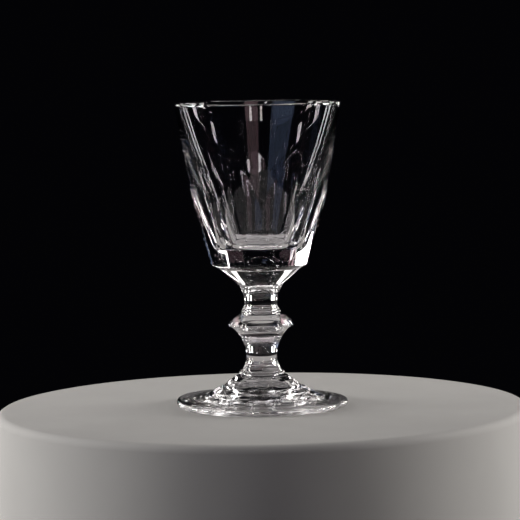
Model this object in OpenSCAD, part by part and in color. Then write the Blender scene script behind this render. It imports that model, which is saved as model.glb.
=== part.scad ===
// Small stemmed drinking glass of clear lead crystal, made the off-hand way: a blown bowl with a
// solid block under it, and a stem and foot built up from separate gathers of hot glass. The
// gathers are fused end to end, so each piece meets the next on one flat disc. The bowl's lower
// two thirds are cut with a ring of tall flat panels, and the block below them with shorter ones.
// Millimetres, +Z up. The origin is the centre of the circle that the foot stands on.

/* [Overall] */
// Height from the table to the rim
glass_h = 114; // [100:1:140]
// Outer diameter of the bowl at the rim
rim_d = 62.2; // [54:0.2:76]
// Diameter of the foot
foot_d = 64.6; // [54:0.2:80]

/* [Bowl] */
// Diameter that the uncut cone of the bowl would have at the top of its solid block
cone_base_d = 43.2; // [42:0.2:50]
// Wall at the lip
lip_t = 1.2; // [0.9:0.1:2]
// Inner diameter of the bowl where its wall starts to round into the bottom
well_d = 27; // [20:0.5:31]
// Outward bulge of the inner wall at half its height
well_bulge = 1.3; // [0.4:0.1:2]
// Rounding between the inner wall and the bottom
well_fillet_r = 4.5; // [2:0.5:7]
// Glass between the bottom of the bowl and the top edge of the block
well_floor_t = 1.8; // [1:0.1:5]

/* [Panels] */
// Number of flat panels around the bowl
panel_count = 9; // [6:1:12]
// Height from the top of the block to the arched tip where a panel runs out on the cone
panel_h = 32; // [24:1:38]

/* [Block] */
// Diameter of the block over its corners, at its top edge
block_top_d = 40.2; // [37:0.2:42]
// Diameter of the block over its corners, at its bottom edge
block_base_d = 37.4; // [35:0.2:39]
// Height of the block's facets
block_h = 5; // [3:0.2:7]
// Height of the bevel under the block, measured at the block's corners
bevel_h = 2; // [1:0.2:3]
// Diameter at the foot of the bevel, where the underside turns in towards the neck
bevel_d = 30.6; // [27:0.2:33]
// Slope of the underside, from the neck's sweep out to the bevel
underside_angle = 42; // [36:1:48]

/* [Stem] */
// Diameter of the neck at its thinnest
neck_d = 12.2; // [9:0.2:16]
// Radius of the sweep from the neck up to the underside of the block
neck_sweep_r = 9.7; // [8:0.1:12]
// Height of the neck's own gather
neck_h = 8; // [6:0.2:9]
// Height of the thinnest place above the bottom of the neck
neck_waist_z = 2.2; // [1:0.1:3]
// Flat ledge of the upper collar's larger ring, out from the neck to the round of its edge
collar_ledge = 0.6; // [0.2:0.1:1.6]
// Flat ledge of the upper collar's smaller ring
collar_top_ledge = 0.1; // [0.1:0.1:1.2]
// Height of each ring of the upper collar
collar_ring_h = 1; // [0.6:0.1:1.4]
// Diameter over the sharp edge of the bladed knop
knop_d = 25; // [20:0.2:31]
// Height of the knop above its edge
knop_rise = 4.3; // [3.4:0.1:5.4]
// Height of the knop below its edge
knop_drop = 5.6; // [4.6:0.1:7]
// Height of the plain neck ring at the top of the knop
knop_shoulder_h = 0.7; // [0.3:0.1:1.2]
// Rounding of the knop's edge
knop_edge_r = 0.35; // [0.2:0.05:0.6]
// Diameter of the lower stem at its thinnest
stem_d = 11.6; // [9:0.2:13.6]
// Radius of the lower stem's waisted sweep
stem_sweep_r = 11; // [9:0.5:16]
// Height of the lower stem's gather
stem_h = 12; // [9:0.5:15]
// Height of the thinnest place above the bottom of the lower stem
stem_waist_z = 6.2; // [4.5:0.1:7.5]

/* [Foot] */
// Flat ledge of the ring between stem and foot, out from the stem to the round of its edge
foot_ring_ledge = 0.2; // [0.1:0.1:1.4]
// Height of that ring
foot_ring_h = 1.2; // [0.8:0.1:2]
// Height of the foot, from the table to the ring
foot_h = 12; // [10:0.2:15]
// Diameter at the first crease, where the steep cone ends
crease_1_d = 29.6; // [25:0.2:33]
// Height of the first crease
crease_1_z = 7.6; // [6.6:0.1:8.6]
// Diameter at the second crease, where the plate of the foot begins
crease_2_d = 41; // [36:0.2:46]
// Height of the second crease
crease_2_z = 4.6; // [3.8:0.1:5.6]
// Height of the plate's top just inside its rounded edge
plate_edge_h = 2.3; // [1.8:0.1:3]
// Width of the band that the foot stands on
stand_band_w = 3.4; // [2:0.2:6]
// Height of the hollow under the foot, at its centre
hollow_h = 1.8; // [0.8:0.1:2.4]
// Diameter of the ground and polished spot under the foot
pontil_d = 15; // [10:0.5:20]
// Depth of that spot above the hollow
pontil_depth = 0.6; // [0.3:0.1:1.2]

/* [Hidden] */
$fn = 96;
crystal = [0.82, 0.83, 0.88, 0.45];

// Heights at which one gather meets the next, from the table up
ring_z = foot_h;
stem_z = ring_z + foot_ring_h;
knop_z = stem_z + stem_h;
collar_z = knop_z + knop_drop + knop_rise;
neck_z = collar_z + 2 * collar_ring_h;
bowl_z = neck_z + neck_h;

// The neck's sweep is one circle that runs on into the bowl's underside
sweep_centre_r = neck_d / 2 + neck_sweep_r;
sweep_centre_z = neck_z + neck_waist_z;
// Radius of a waisted sweep at a height above its thinnest place
function sweep_r_at(thin_d, sweep_r, dz) = thin_d / 2 + sweep_r - sqrt(sweep_r * sweep_r - dz * dz);
stem_base_r = sweep_r_at(stem_d, stem_sweep_r, stem_waist_z);
stem_top_r = sweep_r_at(stem_d, stem_sweep_r, stem_h - stem_waist_z);
neck_base_r = sweep_r_at(neck_d, neck_sweep_r, neck_waist_z);
// Flat parts of the rings, each a ledge wider than the piece that stands on it
collar_flat_r = neck_base_r + collar_ledge;
collar_top_flat_r = neck_base_r + collar_top_ledge;
foot_ring_flat_r = stem_base_r + foot_ring_ledge;

// The underside of the block is a cone that leaves the sweep on its tangent
tangent_r = sweep_centre_r - neck_sweep_r * sin(underside_angle);
tangent_z = sweep_centre_z + neck_sweep_r * cos(underside_angle);
bevel_z = tangent_z + (bevel_d / 2 - tangent_r) * tan(underside_angle);
block_z = bevel_z + bevel_h;
panel_z = block_z + block_h;
panel_tip_z = panel_z + panel_h;

// Outer cone of the bowl before it is cut. It ends where the round of the lip begins.
rim_r = rim_d / 2;
lip_r = lip_t / 2;
lip_z = glass_h - lip_r;
cone_slope = (rim_r - cone_base_d / 2) / (lip_z - panel_z);
function cone_r_at(z) = cone_base_d / 2 + (z - panel_z) * cone_slope;
// The bevel under the block runs outward on its own slope until it meets that cone
bevel_slope = bevel_h / (block_base_d / 2 - bevel_d / 2);
bevel_meet_r = (cone_base_d / 2 + cone_slope * (bevel_z - panel_z - bevel_slope * bevel_d / 2))
    / (1 - cone_slope * bevel_slope);
bevel_meet_z = bevel_z + bevel_slope * (bevel_meet_r - bevel_d / 2);

// Distance of the cut faces from the axis, and how fast they lean out
flat_ratio = cos(180 / panel_count);
block_base_flat_r = block_base_d / 2 * flat_ratio;
block_top_flat_r = block_top_d / 2 * flat_ratio;
block_lean = (block_top_flat_r - block_base_flat_r) / block_h;
panel_lean = (cone_r_at(panel_tip_z) - block_top_flat_r) / panel_h;

// Inside of the bowl
well_z = panel_z + well_floor_t;
well_r = well_d / 2;
well_rim_r = rim_r - lip_t;
well_wall_z = well_z + well_fillet_r;
well_mid = [(well_r + well_rim_r) / 2, (well_wall_z + lip_z) / 2];
well_chord = norm([well_rim_r - well_r, lip_z - well_wall_z]);
well_chord_angle = atan2(lip_z - well_wall_z, well_rim_r - well_r);
well_arc_r = (well_chord * well_chord / 4 + well_bulge * well_bulge) / (2 * well_bulge);
well_arc_centre = well_mid + (well_arc_r - well_bulge)
    * [-sin(well_chord_angle), cos(well_chord_angle)];
// The fillet is tangent to the inner wall and to the bottom
fillet_centre_r = well_arc_centre[0]
    + sqrt(pow(well_arc_r - well_fillet_r, 2) - pow(well_wall_z - well_arc_centre[1], 2));
fillet_angle = atan2(well_wall_z - well_arc_centre[1], fillet_centre_r - well_arc_centre[0]);
fillet_tangent = [fillet_centre_r, well_wall_z]
    + well_fillet_r * [cos(fillet_angle), sin(fillet_angle)];

// Small overshoot of a cutting shape past the face that it cuts
clear = 2;

// Solid of revolution around the axis
module turned() {
    rotate_extrude() children();
}

// Flat ring with a half-round edge around its flat part, from one height up
module bead(flat_r, z, h) {
    translate([0, z]) square([flat_r, h]);
    translate([flat_r, z + h / 2]) circle(h / 2);
}

// Outline of a stretch that is waisted by one circular sweep
module waisted(thin_d, sweep_r, waist_z, h, z) {
    centre_r = thin_d / 2 + sweep_r;
    difference() {
        translate([0, z]) square([centre_r, h]);
        translate([centre_r, z + waist_z]) circle(sweep_r);
    }
}

// Half outline of the bowl's outside before the panels are cut
module bowl_outside() {
    difference() {
        polygon([
            [0, bowl_z], [sweep_centre_r, bowl_z], [tangent_r, tangent_z], [bevel_d / 2, bevel_z],
            [bevel_meet_r, bevel_meet_z], [rim_r, lip_z], [0, lip_z]
        ]);
        translate([sweep_centre_r, sweep_centre_z]) circle(neck_sweep_r);
    }
}

// Half outline of the hollow inside the bowl
module well_outline() {
    intersection() {
        translate(well_arc_centre) circle(well_arc_r, $fn = 360);
        polygon([
            [0, fillet_tangent[1]], [rim_r, fillet_tangent[1]], [rim_r, glass_h + clear],
            [0, glass_h + clear]
        ]);
    }
    polygon([
        [0, well_z], [fillet_centre_r, well_z], [fillet_centre_r, well_wall_z], fillet_tangent,
        [0, fillet_tangent[1]]
    ]);
    translate([fillet_centre_r, well_wall_z]) circle(well_fillet_r);
}

// Section of the glass that is ground away in front of one panel and one facet of the block
module cut_section() {
    low_z = block_z - clear;
    high_z = panel_tip_z + clear;
    polygon([
        [block_base_flat_r - clear * block_lean, low_z], [block_top_flat_r, panel_z],
        [block_top_flat_r + (high_z - panel_z) * panel_lean, high_z], [rim_d, high_z], [rim_d, low_z]
    ]);
}

// Blown bowl, its cut panels, the solid faceted block and the swept underside. An edge between two
// panels faces the front, -Y.
module bowl() {
    panel_turn = 360 / panel_count;
    color(crystal) difference() {
        turned() {
            difference() {
                bowl_outside();
                well_outline();
            }
            translate([rim_r - lip_r, lip_z]) circle(lip_r);
        }
        for (i = [0 : panel_count - 1])
            rotate([0, 0, (i + 0.5) * panel_turn - 90])
                rotate([90, 0, 0])
                    linear_extrude(rim_d, center = true) cut_section();
    }
}

// Short neck that flares up into the bowl
module neck() {
    color(crystal) turned() waisted(neck_d, neck_sweep_r, neck_waist_z, neck_h, neck_z);
}

// Pair of rings between the knop and the neck
module upper_collar() {
    color(crystal) turned() {
        bead(collar_flat_r, collar_z, collar_ring_h);
        bead(collar_top_flat_r, collar_z + collar_ring_h, collar_ring_h);
    }
}

// Bladed knop: two cones that meet in a sharp edge, between a plain shoulder and the stem
module knop() {
    edge_z = knop_z + knop_drop;
    edge_r = knop_d / 2 - knop_edge_r;
    color(crystal) turned() {
        polygon([
            [0, knop_z], [stem_top_r, knop_z], [edge_r, edge_z - knop_edge_r],
            [edge_r, edge_z + knop_edge_r], [collar_flat_r, collar_z - knop_shoulder_h],
            [collar_flat_r, collar_z], [0, collar_z]
        ]);
        translate([edge_r, edge_z]) circle(knop_edge_r);
    }
}

// Waisted lower stem
module lower_stem() {
    color(crystal) turned() waisted(stem_d, stem_sweep_r, stem_waist_z, stem_h, stem_z);
}

// Single ring where the stem stands on the foot
module foot_ring() {
    color(crystal) turned() bead(foot_ring_flat_r, ring_z, foot_ring_h);
}

// Conical foot with a thin plate, hollow underneath, with a polished spot at its centre
module foot() {
    edge_r = plate_edge_h / 2;
    plate_r = foot_d / 2 - edge_r;
    hollow_r = foot_d / 2 - edge_r - stand_band_w;
    hollow_sphere_r = (hollow_r * hollow_r + hollow_h * hollow_h) / (2 * hollow_h);
    pontil_r = pontil_d / 2;
    pontil_z = hollow_h + pontil_depth;
    pontil_rise = pontil_depth + hollow_sphere_r
        - sqrt(hollow_sphere_r * hollow_sphere_r - pontil_r * pontil_r);
    pontil_sphere_r = (pontil_r * pontil_r + pontil_rise * pontil_rise) / (2 * pontil_rise);
    color(crystal) turned() difference() {
        union() {
            polygon([
                [0, 0], [plate_r, 0], [plate_r, plate_edge_h], [crease_2_d / 2, crease_2_z],
                [crease_1_d / 2, crease_1_z], [foot_ring_flat_r, foot_h],
                [0, foot_h]
            ]);
            translate([plate_r, edge_r]) circle(edge_r);
        }
        translate([0, hollow_h - hollow_sphere_r]) circle(hollow_sphere_r, $fn = 360);
        translate([0, pontil_z - pontil_sphere_r]) circle(pontil_sphere_r);
    }
}

bowl();
neck();
upper_collar();
knop();
lower_stem();
foot_ring();
foot();
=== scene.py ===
import math
import random

import bpy
from bpy.props import FloatProperty, FloatVectorProperty, IntProperty, PointerProperty
from mathutils import Matrix, Vector, noise


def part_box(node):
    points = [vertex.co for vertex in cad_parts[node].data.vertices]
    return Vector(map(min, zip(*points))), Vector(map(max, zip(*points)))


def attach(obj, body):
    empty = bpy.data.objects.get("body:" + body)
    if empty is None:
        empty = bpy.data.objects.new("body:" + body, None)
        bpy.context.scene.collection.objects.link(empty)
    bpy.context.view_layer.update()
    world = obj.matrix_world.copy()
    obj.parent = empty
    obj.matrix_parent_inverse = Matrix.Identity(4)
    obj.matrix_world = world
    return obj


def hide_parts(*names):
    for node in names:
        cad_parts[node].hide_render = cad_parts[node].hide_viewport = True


bl_info = {
    "name": "Panel-cut wine glass",
    "version": (1, 0, 0),
    "blender": (4, 5, 0),
    "location": "3D View > Sidebar > Wine glass",
    "description": "Builds a panel-cut crystal wine glass on its packed frame",
    "category": "Add Mesh",
}

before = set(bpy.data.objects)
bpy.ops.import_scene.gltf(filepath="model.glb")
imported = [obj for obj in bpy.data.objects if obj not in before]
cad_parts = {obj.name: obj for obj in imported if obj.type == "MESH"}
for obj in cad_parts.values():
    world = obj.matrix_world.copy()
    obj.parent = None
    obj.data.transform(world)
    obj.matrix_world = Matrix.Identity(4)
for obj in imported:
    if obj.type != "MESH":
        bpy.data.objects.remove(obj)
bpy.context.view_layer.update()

MM = 0.001
# Two points closer than this are one point of an outline
SAME_POINT = 1e-7
# Spun copies closer than this are merged at the poles and where the spin closes
MERGE = 1e-6
# Number of outlines around a plain turned piece
TURN_STEPS = 192
# Outlines across each of the bowl's panels, so that every panel edge lies on one of them
STEPS_PER_PANEL = 32
# Slot of the fused discs in each piece's material list, after the glass
FUSED_SLOT = 1
# A cut edge sharper than this is softened by polishing, in degrees
CUT_EDGE = 5
# Glass above a panel's tip whose outline is drawn as finely as the panel
ABOVE_TIP = 1.5 * MM
# Steps of an outline along each curve: inner wall, its rounding and bottom, lip, bead, blade, edge
WALL_STEPS = 64
ROUNDING_STEPS = 18
BOTTOM_STEPS = 8
LIP_STEPS = 10
BEAD_STEPS = 14
BLADE_STEPS = 10
PLATE_EDGE_STEPS = 16
# Steps along the sweeps of the bowl's underside, the neck and the lower stem
UNDERSIDE_STEPS = 12
NECK_STEPS = 40
STEM_STEPS = 48
# Steps between two knots of a smooth curve on the knop and on the foot
KNOP_KNOT_STEPS = 8
FOOT_KNOT_STEPS = 12
# Steps along the polished spot and the hollow under the foot, and outlines around the foot
PONTIL_STEPS = 12
HOLLOW_STEPS = 30
FOOT_TURN_STEPS = 288
# Spacing of an outline's points on the block, on the panels, on the plain wall and underneath
BLOCK_SPACING = 0.3 * MM
PANEL_SPACING = 0.32 * MM
WALL_SPACING = 0.9 * MM
UNDERSIDE_SPACING = 0.6 * MM
BAND_SPACING = 0.5 * MM
# Seeds in the bowl: how many, how far from the axis, their radii and how much taller than wide
BOWL_SEEDS = 18
SEED_REACH = 13 * MM
SEED_RADII = (0.1, 0.27)
SEED_STRETCH = (1.0, 1.5)
# Single seeds as (place, radius, stretch) in millimetres: over the block's top, over the knop's edge
WALL_SEEDS = (((1.7, -16.6, 5.2), 0.42, 1.2), ((-5.2, -15.6, 4.8), 0.26, 1.4))
KNOP_SEEDS = (((3.1, -4.0, 0.8), 0.16, 1.1), ((-2.4, 2.0, -1.9), 0.12, 1.4))
# Width of the blown wall's slow wander
WANDER_SCALE = 14 * MM
# Shape of the foot's top from the plate up to the ring, as (radius, height) in millimetres
FOOT_KNOTS = ((26.0, 2.95), (22.4, 3.7), (20.2, 4.6), (18.3, 5.8), (16.6, 6.85), (14.9, 7.4),
              (13.4, 8.6), (11.6, 10.1), (9.8, 11.4))
# Tool rings fade in from this radius of the foot, over this width
RING_START = 14 * MM
RING_FADE = 6 * MM
# How fast the lifted side of the foot curls up towards its edge
WARP_POWER = 3
# Point that the lights face
LIGHT_AIM = (0, 0, 0.06)
# Lights as (name, azimuth, elevation, distance, width, height, power), azimuth from straight behind
LIGHT_PAIRS = (
    ("side", 78, 9, 0.95, 0.12, 0.12, "side_power"),
    ("edge", 94, 11, 0.95, 0.12, 0.12, "edge_power"),
    ("wide", 72, 5, 0.95, 0.15, 0.2, "wide_power"),
    ("strip", 42, 8, 0.95, 0.05, 0.35, "strip_power"),
    ("rear_strip", 30, 8, 0.95, 0.05, 0.35, "strip_power"),
    ("low", 105, 1, 0.95, 0.1, 0.1, "low_power"),
    ("quarter", 50, 30, 1.0, 0.25, 0.3, "quarter_power"),
    ("back", 30, 50, 1.1, 0.4, 0.2, "back_power"),
)
FRONT_LIGHTS = (
    ("right_front", 172, 14, 1.1, 0.06, 0.1, "front_power"),
    ("left_front", -172, 14, 1.1, 0.06, 0.1, "front_power"),
    ("high_front", -165, 20, 1.1, 0.05, 0.1, "front_power"),
)
# Rounding of the floor slab's edge, its steps, and the sides of the slab
FLOOR_ROUNDING = 3 * MM
FLOOR_ROUNDING_STEPS = 4
FLOOR_SIDES = 192
# How much darker the floor's mottle is
MOTTLE = 0.97
# Light crosses many faces of glass before it leaves
GLASS_BOUNCES = 24
GLOSSY_BOUNCES = 12


# Lowest and highest corner of each node of the frame
node_boxes = {name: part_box(name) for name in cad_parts}


def node_span(name):
    """Lowest height, highest height and greatest radius of a node of the frame."""
    low, high = node_boxes[name]
    return low.z, high.z, (high.x - low.x) / 2


def length_property(name, description, default):
    return FloatProperty(name=name, description=description, default=default, min=0.0,
                         precision=5, subtype="DISTANCE", unit="LENGTH")


def angle_property(name, description, degrees):
    return FloatProperty(name=name, description=description, default=math.radians(degrees),
                         subtype="ANGLE", unit="ROTATION")


def colour_property(name, description, colour):
    return FloatVectorProperty(name=name, description=description, size=3, default=colour,
                               min=0.0, max=1.0, subtype="COLOR")


def power_property(name, description, watts):
    return FloatProperty(name=name, description=description, default=watts, min=0.0, unit="POWER")


class BowlSizes(bpy.types.PropertyGroup):
    lip_wall: length_property("Lip wall", "Thickness of the wall at the lip", 1.2 * MM)
    well_radius: length_property("Well radius", "Inner radius just above the rounded bottom", 13.5 * MM)
    well_bulge: length_property("Well bulge", "Outward bulge of the inner wall at mid height", 1.3 * MM)
    well_round: length_property("Well rounding", "Rounding between inner wall and bottom", 4.5 * MM)
    well_dome: length_property("Well dome", "Rise of the bottom of the well at its centre", 0.25 * MM)
    block_floor: length_property("Block floor", "Glass between the well and the block's top", 1.8 * MM)
    cone_radius: length_property("Cone radius", "Radius of the uncut cone at the block's top", 21.6 * MM)
    block_top_radius: length_property("Block top", "Radius over the block's corners, at the top", 20.1 * MM)
    block_base_radius: length_property("Block base", "Radius over the block's corners, below", 18.7 * MM)
    block_height: length_property("Block height", "Height of the block's facets", 5.0 * MM)
    bevel_height: length_property("Bevel height", "Height of the bevel under the block", 2.0 * MM)
    bevel_radius: length_property("Bevel radius", "Radius at the foot of the bevel", 15.3 * MM)
    underside: angle_property("Underside", "Slope of the underside, from the neck to the bevel", 42)
    panel_height: length_property("Panel height", "Height of a panel's arched tip above the block",
                                  32 * MM)
    panels: IntProperty(name="Panels", description="Number of flat panels around", default=9,
                        min=6, max=12)
    edge_softness: FloatProperty(name="Edge softness", default=0.35, min=0.0, max=1.0,
                                 description="How far polishing has rounded the cut edges",
                                 subtype="FACTOR")
    unevenness: length_property("Unevenness", "How far the blown wall strays from round", 0.05 * MM)


class StemSizes(bpy.types.PropertyGroup):
    neck_radius: length_property("Neck radius", "Radius of the neck at its thinnest", 6.1 * MM)
    neck_sweep: length_property("Neck sweep", "Radius of the sweep from the neck to the bowl", 9.7 * MM)
    neck_waist: length_property("Neck waist", "Height of the thinnest place in the neck", 2.2 * MM)
    collar_ring: length_property("Collar ring", "Height of each ring of the collar", 1.0 * MM)
    collar_step: length_property("Collar step", "How much smaller the upper ring is", 0.5 * MM)
    knop_drop: length_property("Knop drop", "Height of the knop below its edge", 5.6 * MM)
    knop_edge: length_property("Knop edge", "Rounding of the knop's sharp edge", 0.35 * MM)
    stem_radius: length_property("Stem radius", "Radius of the lower stem at its thinnest", 5.8 * MM)
    stem_sweep: length_property("Stem sweep", "Radius of the lower stem's waisted sweep", 11.0 * MM)
    stem_waist: length_property("Stem waist", "Height of the thinnest place in the lower stem", 6.2 * MM)
    seam_depth: length_property("Seam depth", "Depth of the groove where two gathers are fused", 0.12 * MM)


class FootSizes(bpy.types.PropertyGroup):
    edge_height: length_property("Edge height", "Thickness of the plate at its rounded edge", 2.3 * MM)
    stand_band: length_property("Stand band", "Width of the band that the foot stands on", 3.4 * MM)
    hollow: length_property("Hollow", "Height of the hollow underneath, at its centre", 1.8 * MM)
    pontil_radius: length_property("Pontil radius", "Radius of the polished spot underneath", 7.5 * MM)
    pontil_depth: length_property("Pontil depth", "Depth of that spot above the hollow", 0.6 * MM)
    ripple: length_property("Ripple", "Height of the faint tool rings on the plate", 0.035 * MM)
    ripple_pitch: length_property("Ripple pitch", "Distance between the tool rings", 1.9 * MM)
    warp: length_property("Warp", "How far one side of the plate has lifted", 1.1 * MM)
    warp_side: angle_property("Warp side", "Direction of the lifted side around the stem", 150)


class GlassFinish(bpy.types.PropertyGroup):
    clear: colour_property("Clear", "Colour of the clearest glass", (0.985, 0.98, 0.995))
    cast: colour_property("Cast", "Colour where the metal in the glass shows", (0.93, 0.915, 0.96))
    index: FloatProperty(name="Index", description="Refractive index of lead crystal", default=1.54,
                         min=1.3, max=1.9)


class StudioSizes(bpy.types.PropertyGroup):
    floor: colour_property("Floor", "Colour of the floor", (0.36, 0.355, 0.35))
    floor_radius: length_property("Floor radius", "How far the floor reaches", 0.1)
    floor_depth: length_property("Floor depth", "Thickness of the slab that the floor is", 0.15)
    dark: colour_property("Surround", "Colour of the unlit studio", (0.001, 0.001, 0.0015))
    lamp: colour_property("Lamp", "Colour of the plain lights", (1.0, 0.97, 0.93))
    over_power: power_property("Overhead light", "Power of the wide light almost straight above", 2.0)
    side_power: power_property("Side lights", "Power of each small light at the sides", 5.0)
    edge_power: power_property("Edge lights", "Power of each small light just nearer the camera", 3.5)
    wide_power: power_property("Wide lights", "Power of each wider light at the sides", 2.2)
    strip_power: power_property("Strip lights", "Power of each upright strip behind the glass", 0.5)
    low_power: power_property("Low lights", "Power of each small light level with the bowl", 0.7)
    quarter_power: power_property("Quarter lights", "Power of each raised light behind the sides", 1.2)
    back_power: power_property("Back lights", "Power of each high light behind the glass", 0.6)
    front_power: power_property("Front lights", "Power of each small light beside the camera", 0.35)
    fill_power: power_property("Fill lights", "Power of each tall, faintly coloured light in front", 0.5)
    fill_cool: colour_property("Cool fill", "Colour of the fill light on the left", (0.5, 0.65, 1.0))
    fill_warm: colour_property("Warm fill", "Colour of the fill light by the camera", (0.9, 0.6, 0.65))
    camera_distance: length_property("Camera distance", "Distance of the camera from the stem", 1.01)
    camera_height: length_property("Camera height", "Height of the camera above the floor", 0.14)
    camera_aim: length_property("Camera aim", "Height that the camera looks at", 0.0549)
    camera_field: length_property("Camera field", "Width of the picture at the stem", 0.19505)
    camera_turn: angle_property("Camera turn", "How far round from the front the camera stands", -2.5)
    camera_roll: angle_property("Camera roll", "Lean of the camera to one side", -1.0)


SETTINGS = {
    "glass_bowl": BowlSizes, "glass_stem": StemSizes, "glass_foot": FootSizes,
    "glass_finish": GlassFinish, "glass_studio": StudioSizes,
}


# Outlines: lists of (radius, height) in the half plane to the right of the axis, bottom to top


def on_arc(centre, radius, start, end, steps):
    """Points along an arc from one angle to another, both ends included."""
    turn = (end - start) / steps
    angles = [start + i * turn for i in range(steps + 1)]
    return [(centre[0] + radius * math.cos(a), centre[1] + radius * math.sin(a)) for a in angles]


def on_line(start, end, spacing):
    """Points along a straight line, at most one spacing apart, both ends included."""
    steps = max(1, math.ceil(math.dist(start, end) / spacing))
    return [(start[0] + (end[0] - start[0]) * i / steps, start[1] + (end[1] - start[1]) * i / steps)
            for i in range(steps + 1)]


def on_curve(knots, steps):
    """Points along a smooth curve through all the knots, with some steps between each two."""
    knots = [Vector(k) for k in knots]
    ends = [2 * knots[0] - knots[1]] + knots + [2 * knots[-1] - knots[-2]]
    points = []
    for a, b, c, d in zip(ends, ends[1:], ends[2:], ends[3:]):
        for i in range(steps):
            t = i / steps
            p = b + 0.5 * t * ((c - a) + t * ((2 * a - 5 * b + 4 * c - d) + t * (3 * (b - c) + d - a)))
            points.append(tuple(p))
    return points + [tuple(knots[-1])]


def on_sweep(thin_radius, sweep, waist, low, high, steps):
    """Points along a waist that one circle has pressed in, between two heights."""
    centre = (thin_radius + sweep, waist)
    start, end = (math.pi - math.asin((z - waist) / sweep) for z in (low, high))
    return on_arc(centre, sweep, start, end, steps)


def sweep_radius(thin_radius, sweep, rise):
    """Radius of such a waist at a height above its thinnest place."""
    return thin_radius + sweep - math.sqrt(sweep * sweep - rise * rise)


def joined(*stretches):
    """One outline from several, without the points that two of them share."""
    outline = []
    for point in (p for stretch in stretches for p in stretch):
        if not outline or math.dist(point, outline[-1]) > SAME_POINT:
            outline.append(point)
    return outline


def disc(low_or_high, z):
    """The end of an outline on a fused disc: pole and edge going up from it, or edge and pole."""
    radius = fused_radius(z)
    return [(0, z), (radius, z)] if low_or_high == "low" else [(radius, z), (0, z)]


def fused_radius(z):
    """Radius of the disc on which two gathers are fused at a height, or 0 where there is none."""
    stem = bpy.context.scene.glass_stem
    ring_low, ring_high, ring_radius = node_span("foot_ring")
    knop_low, knop_high, _ = node_span("knop")
    collar_high, collar_radius = node_span("upper_collar")[1:]
    neck_high = node_span("neck")[1]
    seam = stem.seam_depth
    waist = ring_high + stem.stem_waist
    thin = collar_high + stem.neck_waist
    discs = {
        ring_low: ring_radius - (ring_high - ring_low) / 2,
        ring_high: sweep_radius(stem.stem_radius, stem.stem_sweep, waist - ring_high) - seam,
        knop_low: sweep_radius(stem.stem_radius, stem.stem_sweep, knop_low - waist) - seam,
        knop_high: collar_radius - stem.collar_ring / 2,
        collar_high: sweep_radius(stem.neck_radius, stem.neck_sweep, thin - collar_high) - seam,
        neck_high: sweep_radius(stem.neck_radius, stem.neck_sweep, neck_high - thin) - seam,
    }
    return next((radius for height, radius in discs.items() if abs(height - z) < MERGE), 0)


# Modelling


def deselect():
    bpy.ops.object.select_all(action="DESELECT")


def turned(name, outline, steps=TURN_STEPS):
    """A closed solid of revolution: the outline is drawn as a chain of points and spun around Z."""
    deselect()
    bpy.ops.mesh.primitive_plane_add(size=MM, location=(0, 0, 0))
    piece = bpy.context.object
    piece.name = piece.data.name = name
    bpy.ops.object.mode_set(mode="EDIT")
    bpy.ops.mesh.merge(type="CENTER")
    at = (0, 0)
    for radius, height in outline:
        step = (radius - at[0], 0, height - at[1])
        bpy.ops.mesh.extrude_region_move(TRANSFORM_OT_translate={"value": step})
        at = (radius, height)
    bpy.ops.mesh.select_all(action="DESELECT")
    bpy.ops.object.mode_set(mode="OBJECT")
    piece.data.vertices[0].select = True
    bpy.ops.object.mode_set(mode="EDIT")
    bpy.ops.mesh.delete(type="VERT")
    bpy.ops.mesh.select_all(action="SELECT")
    bpy.ops.mesh.spin(steps=steps, angle=2 * math.pi, center=(0, 0, 0), axis=(0, 0, 1))
    bpy.ops.mesh.select_all(action="SELECT")
    bpy.ops.mesh.remove_doubles(threshold=MERGE)
    bpy.ops.mesh.normals_make_consistent(inside=False)
    bpy.ops.object.mode_set(mode="OBJECT")
    if len(piece.data.polygons) < steps * (len(outline) - 2):
        raise RuntimeError(f"{name} did not spin into a whole solid")
    return piece


def stray(point, reach, scale, seed):
    """Smooth wandering of a hot surface, between about -reach and reach."""
    return reach * noise.noise(Vector(point) / scale + Vector((seed, 0, 0)))


def add_seeds(piece, seeds):
    """Adds seeds, the small bubbles trapped in the glass: closed voids whose faces look inwards."""
    bpy.ops.object.mode_set(mode="EDIT")
    for place, radius, stretch in seeds:
        bpy.ops.mesh.select_all(action="DESELECT")
        bpy.ops.mesh.primitive_ico_sphere_add(subdivisions=3, radius=radius, location=place,
                                              scale=(1, 1, stretch))
        bpy.ops.mesh.flip_normals()
    bpy.ops.object.mode_set(mode="OBJECT")


def single_seeds(rows, height):
    """Seeds at chosen places, measured from a height on the axis."""
    return [((x * MM, y * MM, height + z * MM), radius * MM, stretch)
            for (x, y, z), radius, stretch in rows]


def finish_piece(piece, node, glass, sharp=30):
    """Gives a piece its materials, marks its fused discs and puts it in place of its node."""
    piece.data.materials.append(glass)
    piece.data.materials.append(fused_joint())
    corners = [v.co for v in piece.data.vertices]
    for face in piece.data.polygons:
        if abs(face.normal.z) < 1 - MERGE:
            continue
        radius = max(math.hypot(*corners[v].xy) for v in face.vertices)
        if radius < fused_radius(face.center.z) + MERGE:
            face.material_index = FUSED_SLOT
    deselect()
    piece.select_set(True)
    bpy.context.view_layer.objects.active = piece
    bpy.ops.object.shade_smooth_by_angle(angle=math.radians(sharp))
    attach(piece, "root")
    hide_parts(node)


# Materials


def new_group(name, inputs, outputs):
    """An empty shader node group with named sockets: each input is (name, kind, default)."""
    group = bpy.data.node_groups.new(name, "ShaderNodeTree")
    for socket_name, kind, default in inputs:
        socket = group.interface.new_socket(socket_name, in_out="INPUT", socket_type=kind)
        socket.default_value = default
    for socket_name, kind in outputs:
        group.interface.new_socket(socket_name, in_out="OUTPUT", socket_type=kind)
    return group, group.nodes.new("NodeGroupInput"), group.nodes.new("NodeGroupOutput")


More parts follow.
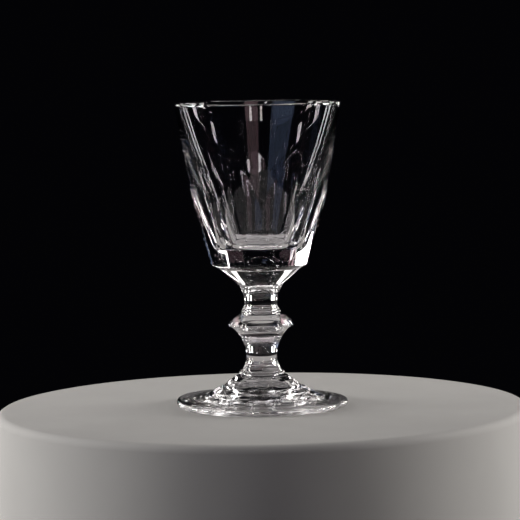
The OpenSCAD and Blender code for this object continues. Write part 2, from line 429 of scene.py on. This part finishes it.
def add_node(tree, kind, links=(), **settings):
    """A node with its settings, and with sockets linked or set by name or number."""
    node = tree.nodes.new(kind)
    for name, value in settings.items():
        setattr(node, name, value)
    for socket, value in dict(links).items():
        if isinstance(value, bpy.types.NodeSocket):
            tree.links.new(value, node.inputs[socket])
        else:
            node.inputs[socket].default_value = value
    return node


def noise_at(tree, place, scale, detail=2.0, distortion=0.0):
    """Smooth noise from 0 to 1 over Object coordinates, its scale in cycles to a metre."""
    links = {"Vector": place, "Scale": scale, "Detail": detail, "Distortion": distortion}
    return add_node(tree, "ShaderNodeTexNoise", links).outputs["Fac"]


def ramp(tree, value, low, high, to_low=0.0, to_high=1.0):
    """A value stretched smoothly from one span to another."""
    links = {"Value": value, "From Min": low, "From Max": high, "To Min": to_low, "To Max": to_high}
    return add_node(tree, "ShaderNodeMapRange", links, interpolation_type="SMOOTHSTEP").outputs[0]


def math_node(tree, operation, first, second):
    return add_node(tree, "ShaderNodeMath", {0: first, 1: second}, operation=operation).outputs[0]


def mix_colours(tree, share, first, second):
    """A colour between two others. On the mix node, colours have sockets 6 and 7, and output 2."""
    return add_node(tree, "ShaderNodeMix", {0: share, 6: first, 7: second}, data_type="RGBA").outputs[2]


def object_place(tree):
    return tree.nodes.new("ShaderNodeTexCoord").outputs["Object"]


def cast_group():
    """Colour of the metal: wisps of a faint cast that the melt has drawn out along the piece."""
    name = "glass_cast"
    if name in bpy.data.node_groups:
        return bpy.data.node_groups[name]
    sockets = [("Clear", "NodeSocketColor", (1, 1, 1, 1)), ("Cast", "NodeSocketColor", (1, 1, 1, 1)),
               ("Wisps", "NodeSocketFloat", 60.0)]
    group, given, result = new_group(name, sockets, [("Color", "NodeSocketColor")])
    drawn_out = {"Vector": object_place(group), "Scale": (1, 1, 0.35)}
    drawn = add_node(group, "ShaderNodeMapping", drawn_out)
    wisps = noise_at(group, drawn.outputs[0], given.outputs["Wisps"], 3.0, 0.8)
    share = ramp(group, wisps, 0.35, 0.7)
    mixed = mix_colours(group, share, given.outputs["Clear"], given.outputs["Cast"])
    group.links.new(mixed, result.inputs[0])
    return group


def hand_group():
    """Height of the marks that hand work leaves: slow waves, and fine lines turned by the tools."""
    name = "hand_work"
    if name in bpy.data.node_groups:
        return bpy.data.node_groups[name]
    sockets = [("Wave scale", "NodeSocketFloat", 90.0), ("Waves", "NodeSocketFloat", 1.0),
               ("Line scale", "NodeSocketFloat", 900.0), ("Lines", "NodeSocketFloat", 0.2)]
    group, given, result = new_group(name, sockets, [("Height", "NodeSocketFloat")])
    place = object_place(group)
    waves = noise_at(group, place, given.outputs["Wave scale"], 1.0)
    flat = add_node(group, "ShaderNodeMapping", {"Vector": place, "Scale": (0.06, 0.06, 1)})
    lines = noise_at(group, flat.outputs[0], given.outputs["Line scale"], 2.0)
    waves = math_node(group, "MULTIPLY", waves, given.outputs["Waves"])
    lines = math_node(group, "MULTIPLY", lines, given.outputs["Lines"])
    group.links.new(math_node(group, "ADD", waves, lines), result.inputs[0])
    return group


def wear_group():
    """Roughness of a handled surface: fine scratches, and a band that has rubbed on tables."""
    name = "table_wear"
    if name in bpy.data.node_groups:
        return bpy.data.node_groups[name]
    sockets = [("Scratches", "NodeSocketFloat", 0.04), ("Band height", "NodeSocketFloat", 0.0),
               ("Band wear", "NodeSocketFloat", 0.0)]
    group, given, result = new_group(name, sockets, [("Roughness", "NodeSocketFloat")])
    place = object_place(group)
    scale, drawn_out = 700.0, (1, 0.05, 0.3)
    total = 0.0
    for turn in (20, 75, 130):
        lean = (math.radians(turn), math.radians(turn / 2), math.radians(turn))
        laid = {"Vector": place, "Rotation": lean, "Scale": drawn_out}
        along = add_node(group, "ShaderNodeMapping", laid)
        streak = ramp(group, noise_at(group, along.outputs[0], scale, 1.0), 0.68, 0.74)
        total = streak if total == 0.0 else math_node(group, "MAXIMUM", total, streak)
    patches = ramp(group, noise_at(group, place, 120.0, 2.0), 0.4, 0.6)
    scratches = math_node(group, "MULTIPLY", total, patches)
    scratches = math_node(group, "MULTIPLY", scratches, given.outputs["Scratches"])
    height = add_node(group, "ShaderNodeSeparateXYZ", {"Vector": place}).outputs["Z"]
    above = math_node(group, "SUBTRACT", height, given.outputs["Band height"])
    rubbed = ramp(group, above, 0.0, 0.4 * MM, 1.0, 0.0)
    grain = ramp(group, noise_at(group, place, 1500.0, 3.0), 0.3, 0.7)
    rubbed = math_node(group, "MULTIPLY", math_node(group, "MULTIPLY", rubbed, grain),
                       given.outputs["Band wear"])
    group.links.new(math_node(group, "ADD", scratches, rubbed), result.inputs[0])
    return group


def put_group(tree, group, **values):
    """Places a group in a material, with its inputs set by name, a space written as an underscore."""
    node = tree.nodes.new("ShaderNodeGroup")
    node.node_tree = group
    for name, value in values.items():
        node.inputs[name.replace("_", " ")].default_value = value
    return node


def crystal(name, waves=1.0, wave_scale=90.0, lines=0.2, line_scale=900.0, depth=0.02 * MM,
            scratches=0.04, band_wear=0.0, wisps=60.0):
    """Clear lead crystal with the marks of one way of working it."""
    if name in bpy.data.materials:
        return bpy.data.materials[name]
    finish = bpy.context.scene.glass_finish
    material = bpy.data.materials.new(name)
    material.use_nodes = True
    tree = material.node_tree
    shader = tree.nodes["Principled BSDF"]
    shader.inputs["IOR"].default_value = finish.index
    shader.inputs["Transmission Weight"].default_value = 1.0
    cast = put_group(tree, cast_group(), Clear=(*finish.clear, 1), Cast=(*finish.cast, 1), Wisps=wisps)
    tree.links.new(cast.outputs["Color"], shader.inputs["Base Color"])
    wear = put_group(tree, wear_group(), Scratches=scratches, Band_height=0.0, Band_wear=band_wear)
    tree.links.new(wear.outputs["Roughness"], shader.inputs["Roughness"])
    hand = put_group(tree, hand_group(), Wave_scale=wave_scale, Waves=waves, Line_scale=line_scale,
                     Lines=lines)
    bump = add_node(tree, "ShaderNodeBump", {"Height": hand.outputs["Height"], "Distance": depth,
                                             "Strength": 1.0})
    tree.links.new(bump.outputs["Normal"], shader.inputs["Normal"])
    return material


def fused_joint():
    """The disc inside the glass where two gathers have run together, which light passes unbent."""
    name = "fused_joint"
    if name in bpy.data.materials:
        return bpy.data.materials[name]
    material = bpy.data.materials.new(name)
    material.use_nodes = True
    shader = material.node_tree.nodes["Principled BSDF"]
    shader.inputs["Alpha"].default_value = 0.0
    return material


# Pieces


def bowl_cone(sizes, z, block_top):
    """Radius of the bowl's uncut cone at a height."""
    rim_z, rim_radius = node_span("bowl")[1:]
    slope = (rim_radius - sizes.cone_radius) / (rim_z - sizes.lip_wall / 2 - block_top)
    return sizes.cone_radius + (z - block_top) * slope


def block_heights(sizes, stem):
    """The point where the sweep ends, and the heights of the bevel, the block and the block's top."""
    thin = node_span("upper_collar")[1] + stem.neck_waist
    sweep_end_r = stem.neck_radius + stem.neck_sweep - stem.neck_sweep * math.sin(sizes.underside)
    sweep_end_z = thin + stem.neck_sweep * math.cos(sizes.underside)
    bevel = sweep_end_z + (sizes.bevel_radius - sweep_end_r) * math.tan(sizes.underside)
    base = bevel + sizes.bevel_height
    return (sweep_end_r, sweep_end_z), bevel, base, base + sizes.block_height


def well_outline(sizes, block_top):
    """Inside of the bowl, from the lip down to the pole at its bottom."""
    rim_z, rim_radius = node_span("bowl")[1:]
    half_lip = sizes.lip_wall / 2
    top = Vector((rim_radius - sizes.lip_wall, rim_z - half_lip))
    floor = block_top + sizes.block_floor
    low = Vector((sizes.well_radius, floor + sizes.well_round))
    chord = top - low
    bulge = sizes.well_bulge
    radius = (chord.length_squared / 4 + bulge * bulge) / (2 * bulge)
    outward = Vector((chord.y, -chord.x)).normalized()
    centre = (top + low) / 2 - outward * (radius - bulge)
    # The rounding touches the wall's arc from inside, and the bottom from above
    round_r = centre.x + math.sqrt((radius - sizes.well_round) ** 2 - (low.y - centre.y) ** 2)
    touch = math.atan2(low.y - centre.y, round_r - centre.x)
    top_angle = math.atan2(top.y - centre.y, top.x - centre.x)
    wall = on_arc(centre, radius, top_angle, touch, WALL_STEPS)
    rounding = on_arc((round_r, low.y), sizes.well_round, touch, -math.pi / 2, ROUNDING_STEPS)
    edge = rounding[-1]
    shares = [1 - i / BOTTOM_STEPS for i in range(1, BOTTOM_STEPS + 1)]
    bottom = [(edge[0] * share, edge[1] + sizes.well_dome * (1 - share ** 2)) for share in shares]
    return joined(wall, rounding, bottom)


def bowl_outline(sizes, stem):
    """Half outline of the blown bowl before its panels are cut."""
    low, rim_z, rim_radius = node_span("bowl")
    sweep_end, bevel, base, top = block_heights(sizes, stem)
    thin = node_span("upper_collar")[1] + stem.neck_waist
    seam = stem.seam_depth
    underside = on_sweep(stem.neck_radius, stem.neck_sweep, thin, low + seam, sweep_end[1],
                         UNDERSIDE_STEPS)
    bevel_slope = sizes.bevel_height / (sizes.block_base_radius - sizes.bevel_radius)
    cone_slope = (bowl_cone(sizes, top, top) - bowl_cone(sizes, base, top)) / sizes.block_height
    reach = (bowl_cone(sizes, bevel, top) - sizes.bevel_radius) / (1 - cone_slope * bevel_slope)
    meet = (sizes.bevel_radius + reach, bevel + reach * bevel_slope)
    tip = top + sizes.panel_height
    half_lip = sizes.lip_wall / 2
    shoulder = rim_z - half_lip
    cut_top = tip + ABOVE_TIP
    above_panels = (bowl_cone(sizes, cut_top, top), cut_top)
    bevel_foot = (sizes.bevel_radius, bevel)
    cone = [on_line(meet, (sizes.cone_radius, top), BLOCK_SPACING),
            on_line((sizes.cone_radius, top), above_panels, PANEL_SPACING),
            on_line(above_panels, (rim_radius, shoulder), WALL_SPACING)]
    lip = on_arc((rim_radius - half_lip, shoulder), half_lip, 0, math.pi, LIP_STEPS)
    return joined(disc("low", low), underside, on_line(sweep_end, bevel_foot, UNDERSIDE_SPACING),
                  on_line(bevel_foot, meet, BLOCK_SPACING), *cone, lip, well_outline(sizes, top))


def grind_panels(piece, sizes, stem):
    """Grinds the outside back to flat panels, and to shorter facets on the block under them."""
    _, bevel, _, top = block_heights(sizes, stem)
    tip = top + sizes.panel_height
    across = 2 * math.pi / sizes.panels
    flat_share = math.cos(across / 2)
    top_flat = sizes.block_top_radius * flat_share
    base_flat = sizes.block_base_radius * flat_share
    tip_flat = bowl_cone(sizes, tip, top)
    inside = (sizes.well_radius + top_flat) / 2
    for vertex in piece.data.vertices:
        x, y, z = vertex.co
        radius = math.hypot(x, y)
        wall_middle = inside + (z - top) * (tip_flat - top_flat) / sizes.panel_height
        if radius < wall_middle or not bevel < z < tip:
            continue
        # Angle from the middle of the nearest panel: an edge between two panels faces the front, -Y
        angle = math.atan2(x, -y) / across
        off = (angle - math.floor(angle) - 0.5) * across
        panel = top_flat + (z - top) * (tip_flat - top_flat) / sizes.panel_height
        facet = top_flat + (z - top) * (top_flat - base_flat) / sizes.block_height
        share = min(1, min(panel, facet) / math.cos(off) / radius)
        vertex.co.x *= share
        vertex.co.y *= share


def soften_edges(piece, angle, amount, low, high):
    """Rounds the cut edges a little, as polishing does."""
    bpy.context.view_layer.objects.active = piece
    bpy.ops.object.mode_set(mode="EDIT")
    bpy.ops.mesh.select_mode(type="EDGE")
    bpy.ops.mesh.select_all(action="DESELECT")
    bpy.ops.mesh.edges_select_sharp(sharpness=angle)
    bpy.ops.mesh.select_mode(type="VERT")
    bpy.ops.object.mode_set(mode="OBJECT")
    for vertex in piece.data.vertices:
        vertex.select = vertex.select and low < vertex.co.z < high
    bpy.ops.object.mode_set(mode="EDIT")
    bpy.ops.mesh.vertices_smooth(factor=amount, repeat=1)
    bpy.ops.object.mode_set(mode="OBJECT")


def make_bowl():
    """Blown bowl with its cut panels, its solid faceted block and the seeds trapped in it."""
    sizes = bpy.context.scene.glass_bowl
    stem = bpy.context.scene.glass_stem
    steps = sizes.panels * STEPS_PER_PANEL
    piece = turned("blown_bowl", bowl_outline(sizes, stem), steps)
    _, bevel, _, top = block_heights(sizes, stem)
    tip = top + sizes.panel_height
    grind_panels(piece, sizes, stem)
    soften_edges(piece, math.radians(CUT_EDGE), sizes.edge_softness, bevel + 0.5 * MM, tip + MM)
    rim_z = node_span("bowl")[1]
    for vertex in piece.data.vertices:
        # The blown wall wanders more towards the lip; the block is solid and stays true
        blown = max(0, min(1, (vertex.co.z - top) / (rim_z - top)))
        radius = math.hypot(*vertex.co.xy)
        if blown > 0 and radius > SAME_POINT:
            reach = sizes.unevenness * blown * (rim_z - vertex.co.z) / (rim_z - top) * 2
            share = 1 - abs(stray(vertex.co, reach, WANDER_SCALE, 3.0)) / radius
            vertex.co.x *= share
            vertex.co.y *= share
    seeds_from = random.Random(7)
    seeds = []
    for _ in range(BOWL_SEEDS):
        angle = seeds_from.uniform(0, 2 * math.pi)
        off = SEED_REACH * math.sqrt(seeds_from.random())
        height = seeds_from.uniform(bevel, top)
        place = (off * math.cos(angle), off * math.sin(angle), height)
        seeds.append((place, seeds_from.uniform(*SEED_RADII) * MM, seeds_from.uniform(*SEED_STRETCH)))
    # The two largest lie in the thick wall at the front, level with the bottom of the well
    seeds += single_seeds(WALL_SEEDS, top)
    add_seeds(piece, seeds)
    finish_piece(piece, "bowl", crystal("crystal_blown", waves=1.0, wave_scale=70.0, lines=0.06,
                                        line_scale=500.0, scratches=0.03), sharp=9)


def make_neck():
    """Short neck that flares up into the bowl."""
    stem = bpy.context.scene.glass_stem
    low, high, _ = node_span("neck")
    seam = stem.seam_depth
    body = on_sweep(stem.neck_radius, stem.neck_sweep, low + stem.neck_waist, low + seam, high - seam,
                    NECK_STEPS)
    piece = turned("neck_gather", joined(disc("low", low), body, disc("high", high)))
    finish_piece(piece, "neck", crystal_drawn())


def bead(radius, low, height):
    """Half-round edge of a ring, from its lower face to its upper."""
    half = height / 2
    return on_arc((radius - half, low + half), half, -math.pi / 2, math.pi / 2, BEAD_STEPS)


def make_collar():
    """Pair of rings between the knop and the neck."""
    stem = bpy.context.scene.glass_stem
    low, high, radius = node_span("upper_collar")
    ring = stem.collar_ring
    outline = joined(disc("low", low), bead(radius, low, ring),
                     bead(radius - stem.collar_step, low + ring, ring), disc("high", high))
    finish_piece(turned("collar_pair", outline), "upper_collar", crystal_drawn())


def make_knop():
    """Bladed knop: two slightly hollow cones that meet in a sharp polished edge."""
    stem = bpy.context.scene.glass_stem
    low, high, radius = node_span("knop")
    edge = low + stem.knop_drop
    edge_r = stem.knop_edge
    below = on_curve([(fused_radius(low) + stem.seam_depth, low + stem.seam_depth),
                      (8.0 * MM, edge - 4.4 * MM), (9.7 * MM, edge - 2.25 * MM),
                      (radius - 1.6 * MM, edge - 1.15 * MM), (radius - edge_r, edge - edge_r)],
                     KNOP_KNOT_STEPS)
    above = on_curve([(radius - edge_r, edge + edge_r), (10.9 * MM, edge + 1.7 * MM),
                      (9.0 * MM, edge + 3.1 * MM), (7.5 * MM, high - 0.55 * MM),
                      (fused_radius(high) + stem.seam_depth, high - stem.seam_depth)],
                     KNOP_KNOT_STEPS)
    blade = on_arc((radius - edge_r, edge), edge_r, -math.pi / 2, math.pi / 2, BLADE_STEPS)
    outline = joined(disc("low", low), below, blade, above, disc("high", high))
    piece = turned("bladed_knop", outline)
    add_seeds(piece, single_seeds(KNOP_SEEDS, edge))
    finish_piece(piece, "knop", crystal_drawn())


def make_stem():
    """Waisted lower stem."""
    stem = bpy.context.scene.glass_stem
    low, high, _ = node_span("lower_stem")
    seam = stem.seam_depth
    body = on_sweep(stem.stem_radius, stem.stem_sweep, low + stem.stem_waist, low + seam, high - seam,
                    STEM_STEPS)
    piece = turned("waisted_stem", joined(disc("low", low), body, disc("high", high)))
    finish_piece(piece, "lower_stem", crystal_drawn())


def make_ring():
    """Single ring where the stem stands on the foot."""
    low, high, radius = node_span("foot_ring")
    outline = joined(disc("low", low), bead(radius, low, high - low), disc("high", high))
    finish_piece(turned("stem_ring", outline), "foot_ring", crystal_drawn())


def make_foot():
    """Spread foot: a steep cone, a thin plate with faint tool rings, and a hollow underneath."""
    sizes = bpy.context.scene.glass_foot
    low, high, radius = node_span("foot")
    half_edge = sizes.edge_height / 2
    plate = radius - half_edge
    hollow_r = plate - sizes.stand_band
    sphere = (hollow_r ** 2 + sizes.hollow ** 2) / (2 * sizes.hollow)
    spot = sizes.pontil_radius
    spot_rise = sizes.pontil_depth + sphere - math.sqrt(sphere ** 2 - spot ** 2)
    spot_sphere = (spot ** 2 + spot_rise ** 2) / (2 * spot_rise)
    spot_top = low + sizes.hollow + sizes.pontil_depth
    pontil = [(r, spot_top - spot_sphere + math.sqrt(spot_sphere ** 2 - r ** 2))
              for r in (spot * i / PONTIL_STEPS for i in range(PONTIL_STEPS + 1))]
    hollow = [(r, low + sizes.hollow - sphere + math.sqrt(sphere ** 2 - r ** 2))
              for r in (spot + (hollow_r - spot) * i / HOLLOW_STEPS for i in range(HOLLOW_STEPS + 1))]
    band = on_line((hollow_r, low), (plate, low), BAND_SPACING)
    edge = on_arc((plate, low + half_edge), half_edge, -math.pi / 2, math.pi / 2, PLATE_EDGE_STEPS)
    knots = [(r * MM, z * MM) for r, z in FOOT_KNOTS]
    top = on_curve([edge[-1], *knots, (fused_radius(high), high)], FOOT_KNOT_STEPS)
    rippled = []
    for r, z in top:
        spread = max(0, min(1, (r - RING_START) / RING_FADE))
        rippled.append((r, z + sizes.ripple * spread * math.sin(2 * math.pi * r / sizes.ripple_pitch)))
    outline = joined(pontil, hollow, band, edge, rippled, [(0, high)])
    piece = turned("spread_foot", outline, FOOT_TURN_STEPS)
    side = Vector((math.cos(sizes.warp_side), math.sin(sizes.warp_side)))
    for vertex in piece.data.vertices:
        out = vertex.co.xy.dot(side) / radius
        if out > 0:
            vertex.co.z += sizes.warp * out ** WARP_POWER
    finish_piece(piece, "foot", crystal("crystal_foot", waves=0.8, wave_scale=60.0, lines=0.05,
                                        line_scale=300.0, scratches=0.06, band_wear=0.35))


def crystal_drawn():
    """Finish of the pieces that were drawn and tooled at the bench."""
    return crystal("crystal_drawn", waves=0.5, wave_scale=120.0, lines=0.3, line_scale=1400.0,
                   depth=0.012 * MM)


# Stage


def studio_light(name, azimuth, elevation, distance, width, height, power, colour):
    """A soft light panel that faces the glass, its direction in degrees."""
    middle = Vector(LIGHT_AIM)
    turn, rise = math.radians(azimuth), math.radians(elevation)
    toward = Vector((math.cos(rise) * math.sin(turn), math.cos(rise) * math.cos(turn), math.sin(rise)))
    light = bpy.data.lights.new(name, "AREA")
    light.shape = "RECTANGLE"
    light.size, light.size_y = width, height
    light.energy = power
    light.color = colour
    holder = bpy.data.objects.new(name, light)
    bpy.context.scene.collection.objects.link(holder)
    holder.location = middle + distance * toward
    holder.rotation_euler = (-toward).to_track_quat("-Z", "Y").to_euler()


def floor_material(colour):
    """Matt pale board with a faint mottle."""
    material = bpy.data.materials.new("pale_floor")
    material.use_nodes = True
    tree = material.node_tree
    shader = tree.nodes["Principled BSDF"]
    shader.inputs["Roughness"].default_value = 1.0
    shader.inputs["Specular IOR Level"].default_value = 0.0
    mottle = ramp(tree, noise_at(tree, object_place(tree), 40.0, 4.0), 0.3, 0.7)
    mixed = mix_colours(tree, mottle, (*colour, 1), (*[c * MOTTLE for c in colour], 1))
    tree.links.new(mixed, shader.inputs["Base Color"])
    return material


def make_floor(sizes):
    """Round slab of pale board that the glass stands on."""
    deselect()
    bpy.ops.mesh.primitive_cylinder_add(vertices=FLOOR_SIDES, radius=sizes.floor_radius,
                                        depth=sizes.floor_depth, location=(0, 0, -sizes.floor_depth / 2))
    bpy.ops.object.transform_apply(location=True)
    floor = bpy.context.object
    floor.name = floor.data.name = "floor"
    rounding = floor.modifiers.new("rounding", "BEVEL")
    rounding.width = FLOOR_ROUNDING
    rounding.segments = FLOOR_ROUNDING_STEPS
    bpy.ops.object.modifier_apply(modifier="rounding")
    bpy.ops.object.shade_smooth_by_angle(angle=math.radians(30))
    floor.data.materials.append(floor_material(sizes.floor))


def make_lights(sizes):
    """Unlit studio with plain panels at the sides, behind, overhead and beside the camera."""
    world = bpy.data.worlds.new("studio")
    world.use_nodes = True
    world.node_tree.nodes["Background"].inputs["Color"].default_value = (*sizes.dark, 1)
    bpy.context.scene.world = world
    lamp = sizes.lamp
    studio_light("overhead", 0, 88, 1.1, 0.7, 0.5, sizes.over_power, lamp)
    for side, side_name in ((-1, "left"), (1, "right")):
        for name, azimuth, elevation, distance, width, height, power in LIGHT_PAIRS:
            studio_light(f"{side_name}_{name}", azimuth * side, elevation, distance, width, height,
                         getattr(sizes, power), lamp)
    for *place_and_size, power in FRONT_LIGHTS:
        studio_light(*place_and_size, getattr(sizes, power), lamp)
    studio_light("cool_fill", -136, 22, 1.0, 0.6, 0.5, sizes.fill_power, sizes.fill_cool)
    studio_light("warm_fill", 173, 25, 1.2, 0.4, 0.6, sizes.fill_power, sizes.fill_warm)


def make_camera(sizes):
    """Camera in front of the glass, a little above its lip, looking slightly down."""
    aim = Vector((0, 0, sizes.camera_aim))
    place = Vector((sizes.camera_distance * math.sin(sizes.camera_turn),
                    -sizes.camera_distance * math.cos(sizes.camera_turn), sizes.camera_height))
    camera = bpy.data.cameras.new("camera")
    holder = bpy.data.objects.new("camera", camera)
    bpy.context.scene.collection.objects.link(holder)
    toward = aim - place
    holder.location = place
    level = toward.to_track_quat("-Z", "Y").to_matrix()
    holder.rotation_euler = (level @ Matrix.Rotation(sizes.camera_roll, 3, "Z")).to_euler()
    camera.lens = camera.sensor_width * toward.length / sizes.camera_field
    bpy.context.scene.camera = holder


def make_stage():
    """Pale floor, plain lights and the camera."""
    sizes = bpy.context.scene.glass_studio
    make_floor(sizes)
    make_lights(sizes)
    make_camera(sizes)
    scene = bpy.context.scene
    scene.view_settings.view_transform = "Standard"
    scene.cycles.use_denoising = True
    scene.cycles.max_bounces = GLASS_BOUNCES
    scene.cycles.transmission_bounces = GLASS_BOUNCES
    scene.cycles.glossy_bounces = GLOSSY_BOUNCES
    scene.cycles.transparent_max_bounces = GLASS_BOUNCES


# Operators and panel


class WINEGLASS_OT_bowl(bpy.types.Operator):
    """Blow the bowl, cut its panels and polish it"""
    bl_idname = "wine_glass.bowl"
    bl_label = "Bowl"
    bl_options = {"REGISTER", "UNDO"}

    def execute(self, context):
        make_bowl()
        return {"FINISHED"}


class WINEGLASS_OT_neck(bpy.types.Operator):
    """Draw the short neck and lay the two collar rings under it"""
    bl_idname = "wine_glass.neck"
    bl_label = "Neck and collar"
    bl_options = {"REGISTER", "UNDO"}

    def execute(self, context):
        make_neck()
        make_collar()
        return {"FINISHED"}


class WINEGLASS_OT_knop(bpy.types.Operator):
    """Shape the bladed knop"""
    bl_idname = "wine_glass.knop"
    bl_label = "Knop"
    bl_options = {"REGISTER", "UNDO"}

    def execute(self, context):
        make_knop()
        return {"FINISHED"}


class WINEGLASS_OT_stem(bpy.types.Operator):
    """Draw the waisted stem and the ring that it stands on"""
    bl_idname = "wine_glass.stem"
    bl_label = "Stem and ring"
    bl_options = {"REGISTER", "UNDO"}

    def execute(self, context):
        make_stem()
        make_ring()
        return {"FINISHED"}


class WINEGLASS_OT_foot(bpy.types.Operator):
    """Spread the foot"""
    bl_idname = "wine_glass.foot"
    bl_label = "Foot"
    bl_options = {"REGISTER", "UNDO"}

    def execute(self, context):
        make_foot()
        return {"FINISHED"}


class WINEGLASS_OT_stage(bpy.types.Operator):
    """Set up the floor, the lights and the camera"""
    bl_idname = "wine_glass.stage"
    bl_label = "Stage"
    bl_options = {"REGISTER", "UNDO"}

    def execute(self, context):
        make_stage()
        return {"FINISHED"}


class WINEGLASS_PT_sidebar(bpy.types.Panel):
    """Sizes, finish and steps of the wine glass"""
    bl_idname = "WINEGLASS_PT_sidebar"
    bl_label = "Wine glass"
    bl_space_type = "VIEW_3D"
    bl_region_type = "UI"
    bl_category = "Wine glass"

    def draw(self, context):
        for group_name, group in SETTINGS.items():
            column = self.layout.column(align=True)
            for name in group.__annotations__:
                column.prop(getattr(context.scene, group_name), name)
        for step in STEPS:
            self.layout.operator(step.bl_idname)


STEPS = (WINEGLASS_OT_bowl, WINEGLASS_OT_neck, WINEGLASS_OT_knop, WINEGLASS_OT_stem,
         WINEGLASS_OT_foot, WINEGLASS_OT_stage)
CLASSES = (*SETTINGS.values(), *STEPS, WINEGLASS_PT_sidebar)


def register():
    for cls in CLASSES:
        bpy.utils.register_class(cls)
    for name, group in SETTINGS.items():
        setattr(bpy.types.Scene, name, PointerProperty(type=group))


def unregister():
    for name in SETTINGS:
        delattr(bpy.types.Scene, name)
    for cls in reversed(CLASSES):
        bpy.utils.unregister_class(cls)


def main():
    register()
    bpy.ops.wine_glass.bowl()
    bpy.ops.wine_glass.neck()
    bpy.ops.wine_glass.knop()
    bpy.ops.wine_glass.stem()
    bpy.ops.wine_glass.foot()
    bpy.ops.wine_glass.stage()


if __name__ == "__main__":
    main()
